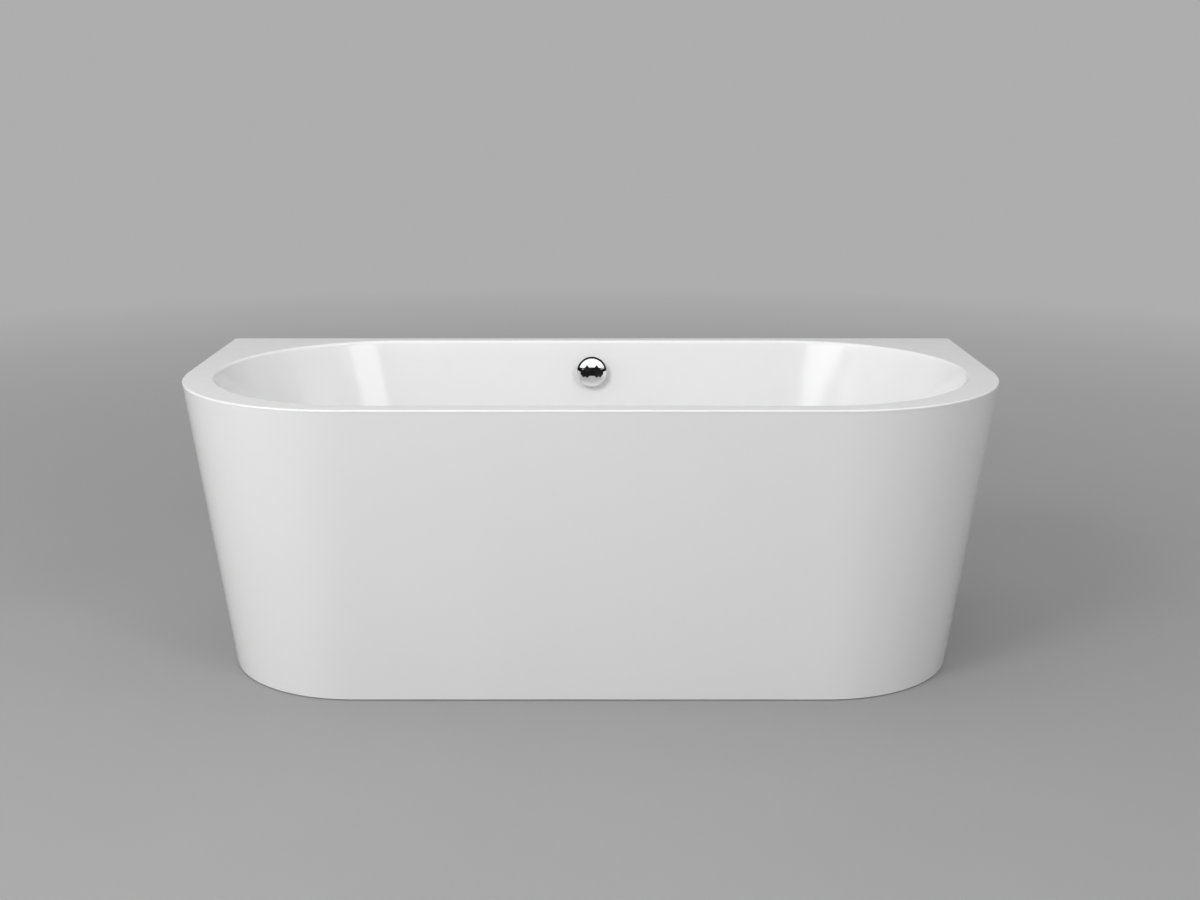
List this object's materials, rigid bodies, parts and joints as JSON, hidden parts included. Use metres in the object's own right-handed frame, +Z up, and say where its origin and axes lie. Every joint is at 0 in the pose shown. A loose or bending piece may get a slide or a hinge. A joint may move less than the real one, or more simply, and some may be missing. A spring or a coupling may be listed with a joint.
{
  "type": "bathtub",
  "caption": "Back-to-wall D-shaped bathtub with a one-piece skirt, oval basin, turn-knob overflow, lifting plug and levelling feet.",
  "frame": {"origin": "floor level, at the middle of the tub's outline", "axes": "+X along the tub to the right, +Y to the wall behind it, +Z up"},
  "size_m": [1.65, 0.75, 0.6],
  "materials": {
    "acrylic_white": "gloss white acrylic sheet",
    "glass_laminate": "sprayed glass-fibre and resin, rough",
    "plywood": "raw birch plywood",
    "galvanised_steel": "galvanised tube",
    "zinc_plate": "bright zinc plate",
    "chrome": "polished chrome",
    "black_rubber": "matt moulded rubber",
    "black_plastic": "moulded, fine grain",
    "white_plastic": "moulded polypropylene",
    "grey_plastic": "moulded polypropylene",
    "grey_hose": "ribbed blow-moulded hose",
    "brass": "turned brass"
  },
  "bodies": {
    "bath": {"base_board": "plywood", "body_seal": "black_rubber", "bowden_cable": "black_plastic", "cable_ferrules": "brass", "cross_tubes": "galvanised_steel", "flange_seal": "black_rubber", "front_rail": "galvanised_steel", "hose_nuts": "grey_plastic", "lever_pin": "zinc_plate", "outlet_nut": "grey_plastic", "outlet_pipe": "white_plastic", "overflow_body": "white_plastic", "overflow_hose": "grey_hose", "overflow_plate": "chrome", "overflow_screws": "zinc_plate", "overflow_seal": "black_rubber", "post_plates": "galvanised_steel", "rear_beam": "galvanised_steel", "rear_posts": "galvanised_steel", "rear_rail": "galvanised_steel", "rim_blocks": "plywood", "skirt_brackets": "galvanised_steel", "skirt_laminate": "glass_laminate", "skirt_panel": "acrylic_white", "trap_body": "white_plastic", "trap_nut": "grey_plastic", "trap_seal": "black_rubber", "tub_laminate": "glass_laminate", "tub_shell": "acrylic_white", "tube_end_caps": "black_plastic", "waste_body": "white_plastic", "waste_flange": "chrome", "weld_nuts": "zinc_plate", "wood_screws": "zinc_plate"},
    "knob": {"overflow_knob": "chrome", "knob_spindle": "brass", "cable_drum": "grey_plastic"},
    "plug": {"drain_plug": "chrome", "plug_seal": "black_rubber", "plug_stem": "brass"},
    "lever": {"lift_lever": "brass"},
    "foot_1": {"foot_pad_1": "black_plastic", "foot_stud_1": "zinc_plate", "foot_lock_nut_1": "zinc_plate"},
    "foot_2": {"foot_pad_2": "black_plastic", "foot_stud_2": "zinc_plate", "foot_lock_nut_2": "zinc_plate"},
    "foot_3": {"foot_pad_3": "black_plastic", "foot_stud_3": "zinc_plate", "foot_lock_nut_3": "zinc_plate"},
    "foot_4": {"foot_pad_4": "black_plastic", "foot_stud_4": "zinc_plate", "foot_lock_nut_4": "zinc_plate"},
    "foot_5": {"foot_pad_5": "black_plastic", "foot_stud_5": "zinc_plate", "foot_lock_nut_5": "zinc_plate"}
  },
  "joints": [
    {"name": "knob_turn", "type": "hinge", "parent": "bath", "child": "knob", "pos_m": [0, 0.32763, 0.531], "axis": [0, -0.9761, 0.2174], "range_deg": [0, 120]},
    {"name": "plug_lift", "type": "slide", "parent": "bath", "child": "plug", "axis": [0, 0, 1], "range_m": [0, 0.0115]},
    {"name": "lever_rock", "type": "hinge", "parent": "bath", "child": "lever", "pos_m": [0, 0.033, 0.1], "axis": [-1, 0, 0], "range_deg": [0, 18]},
    {"name": "foot_screw_1", "type": "slide", "parent": "bath", "child": "foot_1", "axis": [0, 0, -1], "range_m": [0, 0.025]},
    {"name": "foot_screw_2", "type": "slide", "parent": "bath", "child": "foot_2", "axis": [0, 0, -1], "range_m": [0, 0.025]},
    {"name": "foot_screw_3", "type": "slide", "parent": "bath", "child": "foot_3", "axis": [0, 0, -1], "range_m": [0, 0.025]},
    {"name": "foot_screw_4", "type": "slide", "parent": "bath", "child": "foot_4", "axis": [0, 0, -1], "range_m": [0, 0.025]},
    {"name": "foot_screw_5", "type": "slide", "parent": "bath", "child": "foot_5", "axis": [0, 0, -1], "range_m": [0, 0.025]}
  ],
  "couplings": [
    {"joint": "plug_lift", "follows": "knob_turn", "m_per_rad": 0.00549},
    {"joint": "lever_rock", "follows": "knob_turn", "ratio": 0.15}
  ]
}
